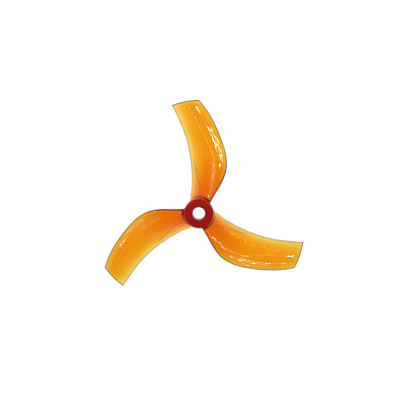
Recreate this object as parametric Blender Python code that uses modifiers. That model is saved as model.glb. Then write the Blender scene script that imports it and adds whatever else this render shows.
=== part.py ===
"""Three-blade swept propeller for a ducted drone, 90 mm across, moulded in clear orange plastic.

The frame's origin is on the shaft axis at the hub's bottom face, and +Z points out of the hub's
top face. Seen from +Z the propeller turns clockwise, so each blade's convex edge leads. The real
propeller is one moulding. Here each of its features is a solid of its own.
"""

import math

import bmesh
import bpy
import numpy as np

MM = 0.001

# Driving dimensions.
BLADE_COUNT = 3
TIP_RADIUS = 45.0 * MM
HUB_HEIGHT = 7.0 * MM
HUB_RADIUS = 6.0 * MM
SHOULDER_RADIUS = 0.8 * MM
BASE_CHAMFER = 0.3 * MM
BORE_RADIUS = 2.5 * MM
BORE_CHAMFER = 0.5 * MM
SLEEVE_RADIUS = 3.2 * MM
GAP = 0.3 * MM

# Distances from the shaft axis at which the blade's parts start and end.
FILLET_START = HUB_RADIUS + GAP
FILLET_END = 7.0 * MM
BLADE_START = FILLET_END + GAP

# The blade at set distances from the shaft axis. Each edge is given by its bearing about +Z, in
# degrees from +X, and by the height of the section's middle line there.
#   radius, leading bearing, trailing bearing, leading height, trailing height, thickness (mm)
BLADE_STATIONS = (
    (6, 43.0, 126.0, 5.6, 1.0, 2.0),
    (7, 45.0, 121.0, 5.75, 1.0, 1.9),
    (10, 49.6, 108.9, 6.05, 0.95, 1.7),
    (15, 53.1, 101.8, 6.4, 0.9, 1.5),
    (20, 57.3, 99.6, 6.6, 0.85, 1.35),
    (25, 64.3, 99.3, 6.3, 0.8, 1.25),
    (30, 72.1, 99.95, 5.7, 0.75, 1.25),
    (35, 78.7, 101.3, 5.1, 0.7, 1.2),
    (40, 84.4, 102.8, 4.5, 0.6, 1.1),
    (45, 90.1, 104.3, 4.0, 0.5, 1.0),
)
TRAILING_THICKNESS = 0.16 * MM
FILLET_FLARE = 0.4 * MM

# The section turns from a blunt one near the hub to a slim one further out. A nose is the share of
# the chord that the rounded front takes, and a camber is the middle line's rise over the chord.
BLUNT_UNTIL = 12.0 * MM
SLIM_FROM = 28.0 * MM
BLUNT_NOSE = 0.08
SLIM_NOSE = 0.35
BLUNT_CAMBER = 0.05
SLIM_CAMBER = 0.016
THICKEST_AT = 0.35
TAPER_POWER = 2.5

# A soft ridge runs along the upper face and a soft bend along the lower one. Each lies at one chord
# fraction at the first radius and at another one at the second. Its rise is a share of the chord.
RIDGE_RADII = (10.0 * MM, 36.0 * MM)
RIDGE_PLACES = (0.20, 0.50)
RIDGE_RISE = 0.105
RIDGE_SOFTNESS = 0.035
BEND_RADII = (24.0 * MM, 44.0 * MM)
BEND_PLACES = (0.30, 0.80)
BEND_RISE = 0.05
BEND_SOFTNESS = 0.03

# Towards the tip the section thins by this share.
TIP_TAPER_START = 42.0 * MM
TIP_TAPER = 0.45

# How finely the solids are cut into faces.
SPAN_STEPS = 20
FILLET_STEPS = 4
CHORD_STEPS = 14
TURN_STEPS = 48
ARC_STEPS = 4
SHARP_ANGLE = math.radians(35)
MERGE_DISTANCE = 0.01 * MM

# The plastic, which looks redder the thicker it is.
BLADE_ORANGE = (0.90, 0.30, 0.02, 1.0)
ROOT_ORANGE = (0.75, 0.12, 0.02, 1.0)
HUB_RED = (0.38, 0.015, 0.02, 1.0)
SLEEVE_RED = (0.45, 0.02, 0.02, 1.0)
PLASTIC_IOR = 1.58


def clear_scene():
    for obj in list(bpy.data.objects):
        bpy.data.objects.remove(obj)


def plastic(name, colour, roughness):
    material = bpy.data.materials.new(name)
    material.use_nodes = True
    shader = material.node_tree.nodes["Principled BSDF"]
    shader.inputs["Base Color"].default_value = colour
    shader.inputs["Roughness"].default_value = roughness
    shader.inputs["Metallic"].default_value = 0.0
    shader.inputs["IOR"].default_value = PLASTIC_IOR
    material.diffuse_color = colour
    return material


def station_value(radius, column):
    """A column of BLADE_STATIONS at any radius, read from a smooth curve through its values."""
    table = np.array(BLADE_STATIONS, float)
    radii, values = table[:, 0] * MM, table[:, column]
    slopes = np.gradient(values, radii)
    k = int(np.clip(np.searchsorted(radii, radius) - 1, 0, len(radii) - 2))
    width = radii[k + 1] - radii[k]
    t = (radius - radii[k]) / width
    start = (1 + 2 * t) * (1 - t) ** 2 * values[k] + t * (1 - t) ** 2 * width * slopes[k]
    end = t * t * (3 - 2 * t) * values[k + 1] - t * t * (1 - t) * width * slopes[k + 1]
    return float(start + end)


def smooth(value, start, end):
    """0 before the start, 1 after the end, and a soft change between them."""
    t = min(max((value - start) / (end - start), 0.0), 1.0)
    return t * t * (3 - 2 * t)


def crease(fraction, radius, radii, places, softness):
    """The height over the chord of a line from edge to edge that bends softly at its place."""
    place = places[0] + (places[1] - places[0]) * smooth(radius, *radii)
    bends = [softness * math.log1p(math.exp((f - place) / softness)) for f in (0.0, fraction, 1.0)]
    return fraction * (bends[2] - bends[0]) - (bends[1] - bends[0])


def full_thickness(radius):
    outward = max((radius - TIP_TAPER_START) / (TIP_RADIUS - TIP_TAPER_START), 0.0)
    return station_value(radius, 5) * MM * (1 - TIP_TAPER * outward**2)


def half_thickness(fraction, thickness, nose):
    """Half the section's thickness: a round nose, then a taper to the thin trailing edge."""
    thin = TRAILING_THICKNESS / 2
    ahead = 1 - min(fraction / nose, 1.0)
    behind = max((fraction - THICKEST_AT) / (1 - THICKEST_AT), 0.0)
    return (thin + (thickness / 2 - thin) * (1 - behind**TAPER_POWER)) * math.sqrt(1 - ahead**2)


def blade_section(radius, flare):
    """Upper and lower points of the section on the cylinder of this radius, leading edge first.

    flare thickens the section and lengthens it at both edges.
    """
    leading = math.radians(station_value(radius, 1)) - flare / radius
    trailing = math.radians(station_value(radius, 2)) + flare / radius
    front, back = station_value(radius, 3) * MM, station_value(radius, 4) * MM
    thickness = full_thickness(radius) + 2 * flare
    slim = smooth(radius, BLUNT_UNTIL, SLIM_FROM)
    nose = BLUNT_NOSE + (SLIM_NOSE - BLUNT_NOSE) * slim
    camber = BLUNT_CAMBER + (SLIM_CAMBER - BLUNT_CAMBER) * slim
    run = radius * (trailing - leading)
    chord = math.hypot(run, front - back)
    bow = 4 * camber * chord
    upper, lower = [], []
    for step in range(CHORD_STEPS + 1):
        fraction = (step / CHORD_STEPS) ** 2
        height = front + fraction * (back - front) + bow * fraction * (1 - fraction)
        rise = back - front + bow * (1 - 2 * fraction)
        length = math.hypot(run, rise)
        half = half_thickness(fraction, thickness, nose)
        ridge = crease(fraction, radius, RIDGE_RADII, RIDGE_PLACES, RIDGE_SOFTNESS)
        bend = crease(fraction, radius, BEND_RADII, BEND_PLACES, BEND_SOFTNESS)
        height += slim * chord * RIDGE_RISE * ridge
        for points, side, lift in ((upper, half, 0.0), (lower, -half, slim * chord * BEND_RISE * bend)):
            bearing = leading + (fraction * run - side * rise / length) / radius
            x, y = radius * math.cos(bearing), radius * math.sin(bearing)
            points.append((x, y, height + side * run / length + lift))
    return upper, lower


def lofted_mesh(name, radii, flares):
    """A closed mesh through the blade sections at these radii."""
    form = bmesh.new()
    rings = []
    for radius, flare in zip(radii, flares):
        upper, lower = blade_section(radius, flare)
        rings.append([form.verts.new(point) for point in upper + lower[:0:-1]])
    count = len(rings[0])
    for inner, outer in zip(rings, rings[1:]):
        for i in range(count):
            j = (i + 1) % count
            form.faces.new((inner[i], inner[j], outer[j], outer[i]))
    for ring in (rings[0], rings[-1]):
        form.faces.new((ring[0], ring[1], ring[-1]))
        for i in range(1, CHORD_STEPS):
            form.faces.new((ring[i], ring[i + 1], ring[count - i - 1], ring[count - i]))
    bmesh.ops.recalc_face_normals(form, faces=form.faces)
    mesh = bpy.data.meshes.new(name)
    form.to_mesh(mesh)
    form.free()
    mesh.shade_smooth()
    mesh.set_sharp_from_angle(angle=SHARP_ANGLE)
    return mesh


def blade_mesh():
    radii = np.linspace(BLADE_START, TIP_RADIUS, SPAN_STEPS + 1)
    return lofted_mesh("blade", radii, np.zeros(len(radii)))


def fillet_mesh():
    """The blade's flared root, widest against the hub."""
    radii = np.linspace(FILLET_START, FILLET_END, FILLET_STEPS + 1)
    flares = FILLET_FLARE * ((BLADE_START - radii) / (BLADE_START - FILLET_START)) ** 2
    return lofted_mesh("root_fillet", radii, flares)


def turned(name, profile):
    """A solid turned about the shaft axis from a closed outline of (radius, height) points."""
    mesh = bpy.data.meshes.new(name)
    edges = [(i, (i + 1) % len(profile)) for i in range(len(profile))]
    mesh.from_pydata([(radius, 0, height) for radius, height in profile], edges, [])
    obj = bpy.data.objects.new(name, mesh)
    screw = obj.modifiers.new("Screw", "SCREW")
    screw.axis = "Z"
    screw.angle = math.tau
    screw.steps = TURN_STEPS
    screw.render_steps = TURN_STEPS
    screw.use_merge_vertices = True
    screw.merge_threshold = MERGE_DISTANCE
    return obj


def shoulder_points():
    """The round over the hub's top edge, from the top face down to the side."""
    centre_radius, centre_height = HUB_RADIUS - SHOULDER_RADIUS, HUB_HEIGHT - SHOULDER_RADIUS
    points = []
    for step in range(ARC_STEPS + 1):
        angle = math.pi / 2 * (1 - step / ARC_STEPS)
        radius = centre_radius + SHOULDER_RADIUS * math.cos(angle)
        points.append((radius, centre_height + SHOULDER_RADIUS * math.sin(angle)))
    return points


def hub_barrel():
    """The hub's thick outer ring. Its two flat faces take the motor and the nut."""
    inner = SLEEVE_RADIUS + GAP
    base = [(HUB_RADIUS, BASE_CHAMFER), (HUB_RADIUS - BASE_CHAMFER, 0), (inner, 0)]
    return turned("hub_barrel", shoulder_points() + base + [(inner, HUB_HEIGHT)])


def bore_sleeve():
    """The ring round the shaft bore, countersunk at both ends."""
    mouth = BORE_RADIUS + BORE_CHAMFER
    outer = [(SLEEVE_RADIUS, HUB_HEIGHT), (SLEEVE_RADIUS, 0)]
    bottom = [(mouth, 0), (BORE_RADIUS, BORE_CHAMFER)]
    top = [(BORE_RADIUS, HUB_HEIGHT - BORE_CHAMFER), (mouth, HUB_HEIGHT)]
    return turned("bore_sleeve", outer + bottom + top)


def place(obj, material, collection, axis):
    """Gives the object its material and hangs it on the shaft axis."""
    obj.data.materials.clear()
    obj.data.materials.append(material)
    collection.objects.link(obj)
    obj.parent = axis


def main():
    clear_scene()
    collection = bpy.data.collections.new("propeller")
    bpy.context.scene.collection.children.link(collection)
    axis = bpy.data.objects.new("shaft_axis", None)
    collection.objects.link(axis)

    place(hub_barrel(), plastic("hub_red", HUB_RED, 0.3), collection, axis)
    place(bore_sleeve(), plastic("sleeve_red", SLEEVE_RED, 0.3), collection, axis)
    repeated = (
        ("root_fillet", fillet_mesh(), plastic("root_orange", ROOT_ORANGE, 0.15)),
        ("blade", blade_mesh(), plastic("blade_orange", BLADE_ORANGE, 0.08)),
    )
    for name, mesh, material in repeated:
        for number in range(BLADE_COUNT):
            obj = bpy.data.objects.new(f"{name}_{number + 1}", mesh)
            place(obj, material, collection, axis)
            obj.rotation_euler.z = math.tau * number / BLADE_COUNT


main()
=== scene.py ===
"""The looks of a swept three-blade drone propeller, moulded in clear orange plastic, on a light table."""

import math

import bmesh
import bpy
import numpy as np
from mathutils import Matrix, Vector


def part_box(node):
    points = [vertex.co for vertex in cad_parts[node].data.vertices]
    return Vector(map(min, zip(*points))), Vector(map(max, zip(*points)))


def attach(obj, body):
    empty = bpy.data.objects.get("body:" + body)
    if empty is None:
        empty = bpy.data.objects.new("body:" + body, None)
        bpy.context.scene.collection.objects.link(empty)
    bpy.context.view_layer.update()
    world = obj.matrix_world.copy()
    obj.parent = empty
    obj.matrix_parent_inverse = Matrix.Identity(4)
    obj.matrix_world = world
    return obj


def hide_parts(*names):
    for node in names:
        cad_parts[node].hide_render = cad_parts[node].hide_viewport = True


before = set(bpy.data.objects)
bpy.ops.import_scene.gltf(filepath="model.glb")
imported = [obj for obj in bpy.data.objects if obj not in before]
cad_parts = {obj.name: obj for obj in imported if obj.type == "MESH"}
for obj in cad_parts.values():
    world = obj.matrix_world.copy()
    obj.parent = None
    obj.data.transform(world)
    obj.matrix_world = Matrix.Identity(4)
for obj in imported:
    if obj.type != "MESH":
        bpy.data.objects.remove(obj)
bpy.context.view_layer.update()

MM = 0.001
BLADE_COUNT = 3

# ---- sizes ----------------------------------------------------------------------------------

sleeve_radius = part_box("bore_sleeve")[1].x
hub_radius, _, hub_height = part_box("hub_barrel")[1]
tip_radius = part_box("blade_1")[1].y
SHOULDER_RADIUS = 0.8 * MM
BASE_CHAMFER = 0.3 * MM
BORE_RADIUS = 2.5 * MM
BORE_CHAMFER = 0.5 * MM

# The blade at set distances from the shaft axis, as in the solids.
#   radius, leading bearing, trailing bearing, leading height, trailing height, thickness (mm)
BLADE_STATIONS = (
    (6, 43.0, 126.0, 5.6, 1.0, 2.0),
    (7, 45.0, 121.0, 5.75, 1.0, 1.9),
    (10, 49.6, 108.9, 6.05, 0.95, 1.7),
    (15, 53.1, 101.8, 6.4, 0.9, 1.5),
    (20, 57.3, 99.6, 6.6, 0.85, 1.35),
    (25, 64.3, 99.3, 6.3, 0.8, 1.25),
    (30, 72.1, 99.95, 5.7, 0.75, 1.25),
    (35, 78.7, 101.3, 5.1, 0.7, 1.2),
    (40, 84.4, 102.8, 4.5, 0.6, 1.1),
    (45, 90.1, 104.3, 4.0, 0.5, 1.0),
)
TRAILING_THICKNESS = 0.16 * MM
BLUNT_UNTIL = 12.0 * MM
SLIM_FROM = 28.0 * MM
BLUNT_NOSE = 0.08
SLIM_NOSE = 0.35
BLUNT_CAMBER = 0.05
SLIM_CAMBER = 0.016
THICKEST_AT = 0.35
TAPER_POWER = 2.5

# A soft ridge runs along the upper face and a soft bend along the lower one. Each is given by the
# chord fraction where it lies at two radii, its height over the chord, and its softness.
RIDGE_RADII = (10.0 * MM, 36.0 * MM)
RIDGE_PLACES = (0.20, 0.50)
RIDGE_RISE = 0.105
RIDGE_SOFTNESS = 0.035
BEND_RADII = (24.0 * MM, 44.0 * MM)
BEND_PLACES = (0.30, 0.80)
BEND_RISE = 0.05
BEND_SOFTNESS = 0.03

# Shallow waves that the moulding left along the blade: their height and length, how far they slant
# over the chord in radians, and the chord fractions and radii between which they fade.
UPPER_WAVE = 0.006 * MM
UPPER_WAVE_LENGTH = 4.4 * MM
LOWER_WAVE = 0.007 * MM
LOWER_WAVE_LENGTH = 3.2 * MM
WAVE_SLANT = 9.0
WAVE_FADE_LEADING = 0.08
WAVE_FADE_TRAILING = 0.15
WAVE_FADE_RADII = (7 * MM, 10 * MM)
UPPER_WAVE_OUT = (0.14, 0.25)
LOWER_WAVE_IN = (0.2, 0.4)

TIP_TAPER_START = 42.0 * MM
TIP_TAPER = 0.45
TIP_ROUND = 0.25 * MM
TIP_ROUND_ANGLE = math.radians(80)
FILLET_FLARE = 0.4 * MM
FILLET_END = 7.0 * MM
SEAM = 0.02 * MM

SPAN_STEPS = 160
FILLET_STEPS = 10
TIP_STEPS = 8
CHORD_STEPS = 48
TURN_STEPS = 192
SHOULDER_STEPS = 10
BASE_STEPS = 5
BLADE_SHARP_ANGLE = math.radians(50)
HUB_SHARP_ANGLE = math.radians(30)


# ---- the blades -----------------------------------------------------------------------------

# The distances in mm that each point of a blade or root carries for its material.
EDGE_DISTANCES = ("from_leading", "from_trailing", "from_tip")


def station_value(radius, column):
    """A column of BLADE_STATIONS at any radius, read from a smooth curve through its values."""
    table = np.array(BLADE_STATIONS, float)
    radii, values = table[:, 0] * MM, table[:, column]
    slopes = np.gradient(values, radii)
    k = int(np.clip(np.searchsorted(radii, radius) - 1, 0, len(radii) - 2))
    width = radii[k + 1] - radii[k]
    t = (radius - radii[k]) / width
    start = (1 + 2 * t) * (1 - t) ** 2 * values[k] + t * (1 - t) ** 2 * width * slopes[k]
    end = t * t * (3 - 2 * t) * values[k + 1] - t * t * (1 - t) * width * slopes[k + 1]
    return float(start + end)


def smooth(value, start, end):
    """0 before the start, 1 after the end, and a soft change between them."""
    t = min(max((value - start) / (end - start), 0.0), 1.0)
    return t * t * (3 - 2 * t)


def full_thickness(radius):
    outward = max((radius - TIP_TAPER_START) / (tip_radius - TIP_TAPER_START), 0.0)
    return station_value(radius, 5) * MM * (1 - TIP_TAPER * outward**2)


def crease(fraction, radius, radii, places, softness):
    """A line over the chord, 0 at both edges, that bends softly at its place for this radius."""
    place = places[0] + (places[1] - places[0]) * smooth(radius, *radii)
    fronts = [softness * math.log1p(math.exp((f - place) / softness)) for f in (0.0, fraction, 1.0)]
    return fraction * (fronts[2] - fronts[0]) - (fronts[1] - fronts[0])


def waves(fraction, radius):
    """Heights of the upper and lower faces' waves, which end before the edges."""
    inside = smooth(fraction, 0.0, WAVE_FADE_LEADING) * smooth(1 - fraction, 0.0, WAVE_FADE_TRAILING)
    inside *= smooth(radius, *WAVE_FADE_RADII)
    upper = UPPER_WAVE * math.sin(math.tau * radius / UPPER_WAVE_LENGTH + WAVE_SLANT * fraction)
    lower = LOWER_WAVE * math.sin(math.tau * radius / LOWER_WAVE_LENGTH + WAVE_SLANT * fraction)
    upper *= inside * (1 - smooth(fraction, *UPPER_WAVE_OUT))
    lower *= inside * smooth(fraction, *LOWER_WAVE_IN)
    return upper, lower


def half_thickness(fraction, thickness, nose, chord):
    """Half the section's thickness: a round nose, a taper, and a small round at the trailing edge."""
    thin = TRAILING_THICKNESS / 2
    ahead = 1 - min(fraction / nose, 1.0)
    behind = max((fraction - THICKEST_AT) / (1 - THICKEST_AT), 0.0)
    rounding = max(1 - (1 - fraction) * chord / thin, 0.0)
    body = thin + (thickness / 2 - thin) * (1 - behind**TAPER_POWER)
    return body * math.sqrt(1 - ahead**2) * math.sqrt(1 - rounding**2)


def blade_section(radius, flare, fullness):
    """The section on the cylinder of this radius, as (point, chord fraction, chord)."""
    leading = math.radians(station_value(radius, 1)) - flare / radius
    trailing = math.radians(station_value(radius, 2)) + flare / radius
    front, back = station_value(radius, 3) * MM, station_value(radius, 4) * MM
    thickness = full_thickness(radius) + 2 * flare
    slim = smooth(radius, BLUNT_UNTIL, SLIM_FROM)
    nose = BLUNT_NOSE + (SLIM_NOSE - BLUNT_NOSE) * slim
    camber = BLUNT_CAMBER + (SLIM_CAMBER - BLUNT_CAMBER) * slim
    run = radius * (trailing - leading)
    chord = math.hypot(run, front - back)
    bow = 4 * camber * chord
    upper, lower = [], []
    for step in range(CHORD_STEPS + 1):
        fraction = 0.5 - 0.5 * math.cos(math.pi * step / CHORD_STEPS)
        height = front + fraction * (back - front) + bow * fraction * (1 - fraction)
        rise = back - front + bow * (1 - 2 * fraction)
        length = math.hypot(run, rise)
        half = half_thickness(fraction, thickness, nose, chord) * fullness
        ridge = crease(fraction, radius, RIDGE_RADII, RIDGE_PLACES, RIDGE_SOFTNESS)
        bend = crease(fraction, radius, BEND_RADII, BEND_PLACES, BEND_SOFTNESS)
        height += slim * chord * RIDGE_RISE * ridge
        bend *= slim * chord * BEND_RISE
        upper_wave, lower_wave = waves(fraction, radius)
        for points, side, extra in ((upper, half, upper_wave), (lower, -half, bend + lower_wave)):
            bearing = leading + (fraction * run - side * rise / length) / radius
            x, y = radius * math.cos(bearing), radius * math.sin(bearing)
            points.append(((x, y, height + side * run / length + extra), fraction, chord))
    return upper + lower[-2:0:-1]


def lofted_mesh(name, stations, turn):
    """A closed mesh through sections at these (radius, flare, fullness), turned about the shaft axis."""
    form = bmesh.new()
    rings, layout, distances = [], [], []
    rotation = Matrix.Rotation(turn, 3, "Z")
    for radius, flare, fullness in stations:
        ring = []
        for point, fraction, chord in blade_section(radius, flare, fullness):
            ring.append(form.verts.new(rotation @ Vector(point)))
            layout.append((fraction, radius / tip_radius))
            distances.append((fraction * chord, (1 - fraction) * chord, tip_radius - radius))
        rings.append(ring)
    count = len(rings[0])
    for inner, outer in zip(rings, rings[1:]):
        for i in range(count):
            j = (i + 1) % count
            form.faces.new((inner[i], inner[j], outer[j], outer[i]))
    for ring in (rings[0], rings[-1]):
        form.faces.new((ring[0], ring[1], ring[-1]))
        form.faces.new((ring[CHORD_STEPS], ring[CHORD_STEPS + 1], ring[CHORD_STEPS - 1]))
        for i in range(1, CHORD_STEPS - 1):
            form.faces.new((ring[i], ring[i + 1], ring[count - i - 1], ring[count - i]))
    bmesh.ops.recalc_face_normals(form, faces=form.faces)
    mesh = bpy.data.meshes.new(name)
    form.to_mesh(mesh)
    form.free()
    mesh.shade_smooth()
    mesh.set_sharp_from_angle(angle=BLADE_SHARP_ANGLE)
    corners = np.empty(len(mesh.loops), np.int32)
    mesh.loops.foreach_get("vertex_index", corners)
    mesh.uv_layers.new(name="layout").data.foreach_set("uv", np.array(layout)[corners].ravel())
    for edge, values in zip(EDGE_DISTANCES, np.array(distances).T / MM):
        mesh.attributes.new(edge, "FLOAT", "POINT").data.foreach_set("value", np.ascontiguousarray(values))
    return mesh


def blade_stations():
    """Even sections along the blade, then closer ones where the tip rounds off."""
    straight = np.linspace(FILLET_END + SEAM, tip_radius - TIP_ROUND, SPAN_STEPS + 1)
    stations = [(radius, 0.0, 1.0) for radius in straight]
    for step in range(1, TIP_STEPS + 1):
        angle = TIP_ROUND_ANGLE * step / TIP_STEPS
        radius = tip_radius - TIP_ROUND + TIP_ROUND * math.sin(angle) / math.sin(TIP_ROUND_ANGLE)
        stations.append((min(radius, tip_radius), 0.0, math.cos(angle)))
    return stations


def fillet_stations():
    """The flared root, widest against the hub."""
    start = hub_radius + SEAM
    radii = np.linspace(start, FILLET_END, FILLET_STEPS + 1)
    return [(r, FILLET_FLARE * ((FILLET_END - r) / (FILLET_END - start)) ** 2, 1.0) for r in radii]


# ---- the hub --------------------------------------------------------------------------------


def arc(radius, height, size, start, end, steps):
    """Points of a round in the (radius, height) plane, from one angle to another in degrees."""
    angles = [math.radians(start + (end - start) * k / steps) for k in range(steps + 1)]
    return [(radius + size * math.cos(a), height + size * math.sin(a)) for a in angles]


def turned_mesh(name, profile):
    """A closed mesh turned about the shaft axis from a closed outline of (radius, height) points."""
    form = bmesh.new()
    rings = []
    for k in range(TURN_STEPS):
        angle = math.tau * k / TURN_STEPS
        rings.append([form.verts.new((r * math.cos(angle), r * math.sin(angle), z)) for r, z in profile])
    for here, after in zip(rings, rings[1:] + rings[:1]):
        for i in range(len(profile)):
            j = (i + 1) % len(profile)
            form.faces.new((here[i], here[j], after[j], after[i]))
    bmesh.ops.recalc_face_normals(form, faces=form.faces)
    mesh = bpy.data.meshes.new(name)
    form.to_mesh(mesh)
    form.free()
    mesh.shade_smooth()
    mesh.set_sharp_from_angle(angle=HUB_SHARP_ANGLE)
    return mesh


def hub_mesh():
    inner = sleeve_radius + SEAM
    centre = (hub_radius - SHOULDER_RADIUS, hub_height - SHOULDER_RADIUS)
    shoulder = arc(*centre, SHOULDER_RADIUS, 90, 0, SHOULDER_STEPS)
    base = arc(hub_radius - BASE_CHAMFER, BASE_CHAMFER, BASE_CHAMFER, 0, -90, BASE_STEPS)
    return turned_mesh("hub", shoulder + base + [(inner, 0), (inner, hub_height)])


def sleeve_mesh():
    mouth = BORE_RADIUS + BORE_CHAMFER
    outer = [(sleeve_radius, hub_height), (sleeve_radius, 0)]
    lower = [(mouth, 0), (BORE_RADIUS, BORE_CHAMFER)]
    upper = [(BORE_RADIUS, hub_height - BORE_CHAMFER), (mouth, hub_height)]
    return turned_mesh("sleeve", outer + lower + upper)


# ---- materials ------------------------------------------------------------------------------

PLASTIC_IOR = 1.58
# How much of each colour the dyed plastic swallows on a metre of way.
ABSORPTION = (100.0, 1050.0, 5200.0)
HUB_ROUGHNESS = 0.22
SLEEVE_ROUGHNESS = 0.3
ROOT_ROUGHNESS = 0.08
BLADE_ROUGHNESS = 0.06
# The bore's wall mirrors less than smooth plastic does.
SLEEVE_SPECULAR = 0.15

# Painted shade along the rim, darkest at the edge: its tint at distances from the edge in mm.
LEADING_SHADE_NEAR_HUB = ((0.0, (0.16, 0.03, 0.02)), (0.40, (0.28, 0.10, 0.08)), (0.75, (1, 1, 1)))
LEADING_SHADE_NEAR_TIP = ((0.0, (0.28, 0.20, 0.12)), (0.40, (0.46, 0.40, 0.40)), (0.80, (1, 1, 1)))
# Painted shade along the trailing edge: a grey line that fades out within a millimetre.
TRAILING_SHADE = (
    (0.0, (0.34, 0.28, 0.26)),
    (0.18, (0.60, 0.54, 0.58)),
    (0.6, (0.80, 0.74, 0.96)),
    (1.0, (0.97, 0.96, 1)),
)
# Painted shade along the tip's edge.
TIP_SHADE = ((0.0, (0.20, 0.13, 0.07)), (0.30, (0.34, 0.26, 0.18)), (0.60, (1, 1, 1)))
# A thin dark line starts behind the root and runs out to the trailing edge: the chord fractions
# at its ends, its first and last place along the blade over the tip radius, how long it fades out
# there, and its tint at chord fractions from its middle.
LINE_FROM, LINE_TO = 0.48, 0.90
LINE_START, LINE_END = 0.155, 0.51
LINE_FADE = 0.08
DARK_LINE_TINT = ((0.0, (0.70, 0.62, 0.62)), (0.028, (1, 1, 1)))
# Faint streaks along the blade: how many there are over the chord and over the blade's length, how
# much they wander, and their tints.
STREAK_SCALE = (16.0, 1.6, 1.0)
STREAK_WANDER = 0.4
STREAK_TINTS = ((0.34, (0.96, 0.92, 0.86)), (0.62, (1, 1, 1)))
# The clouds of dye in the hub: their number to the metre, and their tints.
CLOUD_SCALE = 900.0
CLOUD_TINTS = ((0.3, (0.62, 0.7, 0.8)), (0.7, (0.78, 0.8, 0.9)))


def colour_ramp(tree, value, stops):
    """A colour that changes softly with a value between stops of (value, colour)."""
    ramp = tree.nodes.new("ShaderNodeValToRGB")
    ramp.color_ramp.interpolation = "EASE"
    while len(ramp.color_ramp.elements) < len(stops):
        ramp.color_ramp.elements.new(1.0)
    for element, (position, colour) in zip(ramp.color_ramp.elements, stops):
        element.position = position
        element.color = (*colour, 1)
    tree.links.new(value, ramp.inputs[0])
    return ramp.outputs[0]


def mixed(tree, factor, first, second, blend="MIX"):
    """Two colours mixed by a factor."""
    mix = tree.nodes.new("ShaderNodeMix")
    mix.data_type = "RGBA"
    mix.blend_type = blend
    for socket, value in ((mix.inputs[0], factor), (mix.inputs[6], first), (mix.inputs[7], second)):
        if isinstance(value, bpy.types.NodeSocket):
            tree.links.new(value, socket)
        else:
            socket.default_value = value
    return mix.outputs[2]


def clear_plastic(name, roughness, tint, specular=0.5):
    """Dyed clear plastic, redder the longer light's way through it is."""
    material = bpy.data.materials.new(name)
    material.use_nodes = True
    tree = material.node_tree
    shader = tree.nodes["Principled BSDF"]
    shader.inputs["Roughness"].default_value = roughness
    shader.inputs["IOR"].default_value = PLASTIC_IOR
    shader.inputs["Specular IOR Level"].default_value = specular
    shader.inputs["Transmission Weight"].default_value = 1.0
    dye = tree.nodes.new("ShaderNodeVolumeAbsorption")
    density = max(ABSORPTION)
    dye.inputs["Color"].default_value = (*[1 - a / density for a in ABSORPTION], 1)
    dye.inputs["Density"].default_value = density
    tree.links.new(dye.outputs[0], tree.nodes["Material Output"].inputs["Volume"])
    tree.links.new(tint(tree), shader.inputs["Base Color"])
    return material


def calculated(tree, operation, *values):
    """A number from a math node."""
    node = tree.nodes.new("ShaderNodeMath")
    node.operation = operation
    for socket, value in zip(node.inputs, values):
        tree.links.new(value, socket)
    return node.outputs[0]


def remapped(tree, value, start, end, low, high):
    """A number that goes from low to high while the value goes from start to end."""
    node = tree.nodes.new("ShaderNodeMapRange")
    tree.links.new(value, node.inputs["Value"])
    for name, number in (("From Min", start), ("From Max", end), ("To Min", low), ("To Max", high)):
        node.inputs[name].default_value = number
    return node.outputs[0]


def blade_place(tree):
    """The chord fraction, the distance from the shaft over the tip radius, and both as a vector."""
    layout = tree.nodes.new("ShaderNodeUVMap")
    layout.uv_map = "layout"
    place = tree.nodes.new("ShaderNodeSeparateXYZ")
    tree.links.new(layout.outputs[0], place.inputs[0])
    return place.outputs["X"], place.outputs["Y"], layout.outputs[0]


def flow_streaks(tree, layout):
    """Faint streaks along the blade, as the plastic flowed."""
    stretch = tree.nodes.new("ShaderNodeMapping")
    stretch.inputs["Scale"].default_value = STREAK_SCALE
    tree.links.new(layout, stretch.inputs["Vector"])
    noise = tree.nodes.new("ShaderNodeTexNoise")
    noise.inputs["Scale"].default_value = 1.0
    noise.inputs["Detail"].default_value = 3.0
    noise.inputs["Distortion"].default_value = STREAK_WANDER
    tree.links.new(stretch.outputs[0], noise.inputs["Vector"])
    return colour_ramp(tree, noise.outputs["Fac"], STREAK_TINTS)


def thin_dark_line(tree, fraction, outward):
    """A thin dark line across the blade's rear half near the hub."""
    along = remapped(tree, outward, LINE_START, LINE_END, 1.0, 0.0)
    curve = calculated(tree, "MULTIPLY", along, along)
    place = remapped(tree, curve, 0.0, 1.0, LINE_TO, LINE_FROM)
    apart = calculated(tree, "ABSOLUTE", calculated(tree, "SUBTRACT", fraction, place))
    line = colour_ramp(tree, apart, DARK_LINE_TINT)
    beyond = remapped(tree, outward, LINE_END - LINE_FADE, LINE_END, 0.0, 1.0)
    return mixed(tree, beyond, line, (1, 1, 1, 1))


def painted_rim_shade_and_streaks(tree):
    """Painted shade along the rim, with faint streaks and a thin dark line."""
    distances = []
    for edge in EDGE_DISTANCES:
        distance = tree.nodes.new("ShaderNodeAttribute")
        distance.attribute_name = edge
        distances.append(distance.outputs["Fac"])
    fraction, outward, layout = blade_place(tree)
    # Painted shade along the leading edge, dark red near the hub and brown near the tip.
    shade_near_hub = colour_ramp(tree, distances[0], LEADING_SHADE_NEAR_HUB)
    shade_near_tip = colour_ramp(tree, distances[0], LEADING_SHADE_NEAR_TIP)
    tint = mixed(tree, outward, shade_near_hub, shade_near_tip)
    further = (
        colour_ramp(tree, distances[1], TRAILING_SHADE),
        colour_ramp(tree, distances[2], TIP_SHADE),
        flow_streaks(tree, layout),
        thin_dark_line(tree, fraction, outward),
    )
    for colour in further:
        tint = mixed(tree, 1.0, tint, colour, "MULTIPLY")
    return tint


def root_painted_rim_shade(tree):
    """Painted shade, dark red along the root's leading edge, as on the blade."""
    distance = tree.nodes.new("ShaderNodeAttribute")
    distance.attribute_name = EDGE_DISTANCES[0]
    return colour_ramp(tree, distance.outputs["Fac"], LEADING_SHADE_NEAR_HUB)


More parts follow.
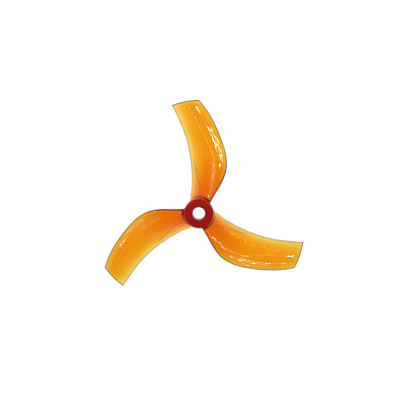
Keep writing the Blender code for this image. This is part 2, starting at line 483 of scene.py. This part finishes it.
def hub_tint(tree):
    """Uneven dye in the thick hub."""
    cloud = tree.nodes.new("ShaderNodeTexNoise")
    cloud.inputs["Detail"].default_value = 4.0
    cloud.inputs["Scale"].default_value = CLOUD_SCALE
    position = tree.nodes.new("ShaderNodeTexCoord")
    tree.links.new(position.outputs["Object"], cloud.inputs["Vector"])
    return colour_ramp(tree, cloud.outputs["Fac"], CLOUD_TINTS)


# ---- pieces ---------------------------------------------------------------------------------


def piece(name, mesh, material, node):
    """An object of this mesh that stands for one of the solids."""
    made = bpy.data.objects.new(name, mesh)
    bpy.context.scene.collection.objects.link(made)
    mesh.materials.append(material)
    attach(made, "root")
    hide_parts(node)


hub_plastic = clear_plastic("hub_plastic", HUB_ROUGHNESS, hub_tint)
sleeve_plastic = clear_plastic("sleeve_plastic", SLEEVE_ROUGHNESS, hub_tint, SLEEVE_SPECULAR)
# The roots' and blades' base colours carry painted shade along their rims.
root_plastic = clear_plastic("root_plastic", ROOT_ROUGHNESS, root_painted_rim_shade)
blade_plastic = clear_plastic("blade_plastic", BLADE_ROUGHNESS, painted_rim_shade_and_streaks)
piece("hub_look", hub_mesh(), hub_plastic, "hub_barrel")
piece("sleeve_look", sleeve_mesh(), sleeve_plastic, "bore_sleeve")
for number in range(BLADE_COUNT):
    turn = math.tau * number / BLADE_COUNT
    root = lofted_mesh(f"root_{number + 1}", fillet_stations(), turn)
    blade = lofted_mesh(f"blade_{number + 1}", blade_stations(), turn)
    piece(f"root_look_{number + 1}", root, root_plastic, f"root_fillet_{number + 1}")
    piece(f"blade_look_{number + 1}", blade, blade_plastic, f"blade_{number + 1}")


# ---- light table ----------------------------------------------------------------------------

TABLE_SIZE = 6.0
# How bright the table is at the two ends of the propeller along Y.
TABLE_GLOW = (1.0, 1.12)


def light_table():
    """A glowing white floor that mirrors almost nothing."""
    half = TABLE_SIZE / 2
    mesh = bpy.data.meshes.new("light_table")
    corners = [(-half, -half, -SEAM), (half, -half, -SEAM), (half, half, -SEAM), (-half, half, -SEAM)]
    mesh.from_pydata(corners, [], [(0, 1, 2, 3)])
    material = bpy.data.materials.new("table_white")
    material.cycles.emission_sampling = "NONE"
    material.use_nodes = True
    shader = material.node_tree.nodes["Principled BSDF"]
    shader.inputs["Base Color"].default_value = (0.05, 0.05, 0.05, 1)
    shader.inputs["Roughness"].default_value = 0.9
    shader.inputs["Specular IOR Level"].default_value = 0.0
    shader.inputs["Emission Color"].default_value = (1, 1, 1, 1)
    tree = material.node_tree
    position = tree.nodes.new("ShaderNodeTexCoord")
    parts = tree.nodes.new("ShaderNodeSeparateXYZ")
    tree.links.new(position.outputs["Object"], parts.inputs[0])
    glow = remapped(tree, parts.outputs["Y"], -tip_radius, tip_radius, *TABLE_GLOW)
    tree.links.new(glow, shader.inputs["Emission Strength"])
    mesh.materials.append(material)
    table = bpy.data.objects.new("light_table", mesh)
    bpy.context.scene.collection.objects.link(table)


# ---- lamps ----------------------------------------------------------------------------------

LAMP_DISTANCE = 1.0
LAMP_COLOUR = (1.0, 0.87, 0.62)
# Round lamps overhead: the (bearing, elevation) in degrees, how wide each looks in degrees, and
# how bright it is.
SPOTS = (
    ("right_1", (153, 65.5), 0.6, 150.0),
    ("right_2", (140, 69.3), 0.6, 150.0),
    ("right_3", (127, 72.5), 0.9, 150.0),
    ("right_4", (165, 50), 0.5, 90.0),
    ("left_1", (0, 69), 0.6, 140.0),
    ("left_2", (10, 67), 0.5, 140.0),
    ("left_3", (-25, 68.5), 0.5, 140.0),
    ("left_4", (28, 58), 0.4, 110.0),
    ("left_5", (30, 60.5), 0.6, 120.0),
    ("front_1", (-126, 64), 0.6, 220.0),
    ("front_2", (-110, 61.5), 0.5, 120.0),
    ("front_3", (-86, 49), 0.4, 110.0),
)
# Long tubes: the middle (bearing, elevation), how long and how thick it looks, and how bright it is.
TUBES = (
    ("tube_left", (49, 59), 6.0, 0.5, 220.0),
    ("tube_right", (171, 53), 14.0, 1.5, 3.5),
)


def lamp(name, bearing, elevation, width, depth, glow, shape):
    """A glowing panel that faces the propeller. Its sizes are in degrees as seen from there."""
    bearing, elevation = math.radians(bearing), math.radians(elevation)
    flat = math.cos(elevation)
    outward = Vector((flat * math.cos(bearing), flat * math.sin(bearing), math.sin(elevation)))
    light = bpy.data.lights.new(name, "AREA")
    light.color = LAMP_COLOUR
    light.shape = shape
    light.size = math.radians(width) * LAMP_DISTANCE
    light.size_y = math.radians(depth) * LAMP_DISTANCE
    light.energy = glow * math.pi * light.size * light.size_y
    panel = bpy.data.objects.new(name, light)
    panel.location = outward * LAMP_DISTANCE
    panel.rotation_euler = outward.to_track_quat("Z", "Y").to_euler()
    bpy.context.scene.collection.objects.link(panel)


def lamps():
    """All the lamps, whose mirror images are the bright dashes on the blades."""
    for name, (bearing, elevation), width, glow in SPOTS:
        lamp(name, bearing, elevation, width, width, glow, "ELLIPSE")
    for name, (bearing, elevation), length, thickness, glow in TUBES:
        lamp(name, bearing, elevation, length, thickness, glow, "RECTANGLE")


# ---- surroundings ---------------------------------------------------------------------------

# The surroundings' colour at the sines of some elevations.
SURROUNDINGS = (
    (0.20, (0.66, 0.63, 0.61)),
    (0.42, (0.36, 0.28, 0.24)),
    (0.55, (0.26, 0.16, 0.12)),
    (0.67, (0.04, 0.04, 0.04)),
    (0.975, (0.04, 0.04, 0.04)),
    (0.99, (0.22, 0.20, 0.22)),
)


def surroundings():
    """Pale walls all round under a dark ceiling, and a dim patch overhead that the flat hub mirrors."""
    world = bpy.data.worlds.new("studio")
    world.cycles.sampling_method = "NONE"
    bpy.context.scene.world = world
    world.use_nodes = True
    tree = world.node_tree
    direction = tree.nodes.new("ShaderNodeTexCoord")
    parts = tree.nodes.new("ShaderNodeSeparateXYZ")
    tree.links.new(direction.outputs["Generated"], parts.inputs[0])
    colour = colour_ramp(tree, parts.outputs["Z"], SURROUNDINGS)
    tree.links.new(colour, tree.nodes["Background"].inputs["Color"])


# ---- camera ---------------------------------------------------------------------------------

CAMERA_TILT = math.radians(5.05)
CAMERA_BEARING = math.radians(74.8)
CAMERA_DISTANCE = 148.4 * MM
TARGET_HEIGHT = 3.25 * MM
FILM_WIDTH = 36.0
LENS = 32.8
LENS_SHIFT = (0.0026, 0.0324)


def camera():
    """Almost straight above the hub, leaning a little towards the top of the picture."""
    target = Vector((0, 0, TARGET_HEIGHT))
    lean = math.sin(CAMERA_TILT)
    sideways = (lean * math.cos(CAMERA_BEARING), lean * math.sin(CAMERA_BEARING))
    towards = Vector((*sideways, math.cos(CAMERA_TILT)))
    up = Vector((0, 1, 0))
    up = (up - towards * up.dot(towards)).normalized()
    lens = bpy.data.cameras.new("camera")
    lens.sensor_width = FILM_WIDTH
    lens.lens = LENS
    lens.shift_x, lens.shift_y = LENS_SHIFT
    lens.clip_start = 10 * MM
    taken_from = bpy.data.objects.new("camera", lens)
    taken_from.location = target + towards * CAMERA_DISTANCE
    taken_from.rotation_euler = Matrix((up.cross(towards), up, towards)).transposed().to_euler()
    bpy.context.scene.collection.objects.link(taken_from)
    bpy.context.scene.camera = taken_from


light_table()
lamps()
surroundings()
camera()
bpy.context.scene.view_settings.view_transform = "Standard"
